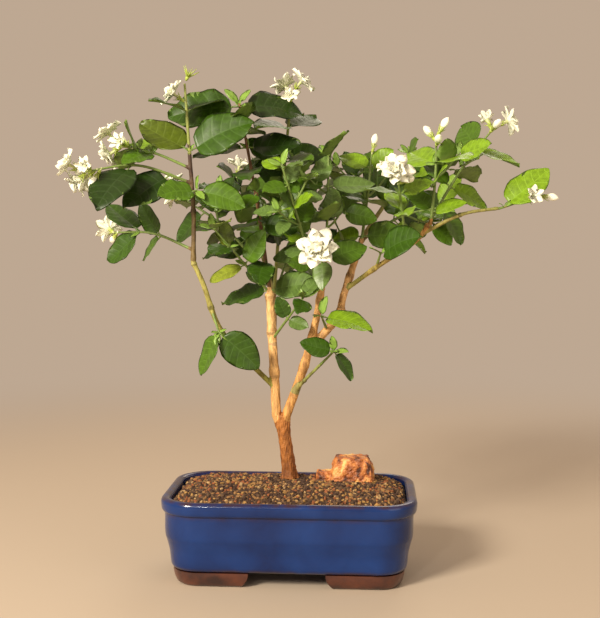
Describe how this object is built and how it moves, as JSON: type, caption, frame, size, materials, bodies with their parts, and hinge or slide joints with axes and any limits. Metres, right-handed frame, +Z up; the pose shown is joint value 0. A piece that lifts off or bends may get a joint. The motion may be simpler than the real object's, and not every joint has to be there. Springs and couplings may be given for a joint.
{
  "type": "potted flowering shrub bonsai",
  "caption": "Small white-flowered jasmine bonsai: short leaning trunk, slender boughs and an open leafy crown, in an oblong glazed pot on corner feet.",
  "frame": {"origin": "on the ground, at the middle of the whole plant's width and depth seen from above", "axes": "+Z up, +X along the pot's length to the right, -Y towards the front"},
  "size_m": [0.3684, 0.2217, 0.3978],
  "materials": {
    "glaze": "gloss",
    "unglazed_clay": "matte",
    "gravel": "matte",
    "stone": "rough",
    "bark": "rough",
    "foliage": "satin",
    "blossom": "matte"
  },
  "bodies": {
    "root": {"pot": "glaze", "foot_rear_right": "unglazed_clay", "foot_rear_left": "unglazed_clay", "foot_front_right": "unglazed_clay", "foot_front_left": "unglazed_clay", "soil": "gravel", "stone": "stone", "trunk": "bark", "left_bough": "bark", "middle_bough": "bark", "right_bough": "bark", "left_stem": "bark", "left_stem_upper": "bark", "right_stem": "bark", "far_right_stem": "bark", "low_twig": "bark", "rear_left_bough": "bark", "rear_right_bough": "bark", "spray_top_left": "foliage", "spray_side_left_high": "foliage", "spray_side_left_top": "foliage", "spray_side_left_low": "foliage", "spray_left_round": "foliage", "spray_low_left": "foliage", "spray_centre_left": "foliage", "spray_left_inner": "foliage", "spray_cross": "foliage", "spray_centre": "foliage", "spray_bush_front": "foliage", "spray_bush_back": "foliage", "spray_flower_front": "foliage", "spray_right_top": "foliage", "spray_right_leaf": "foliage", "spray_right_bloom": "foliage", "spray_right_crown": "foliage", "spray_right_outer": "foliage", "spray_far_right": "foliage", "spray_bright_low": "foliage", "spray_low_right": "foliage", "spray_top_centre": "foliage", "spray_top_middle": "foliage", "spray_rear_left": "foliage", "spray_rear_side": "foliage", "spray_rear_low": "foliage", "spray_rear_right": "foliage", "spray_rear_middle": "foliage", "spray_rear_outer": "foliage"}
  },
  "joints": []
}
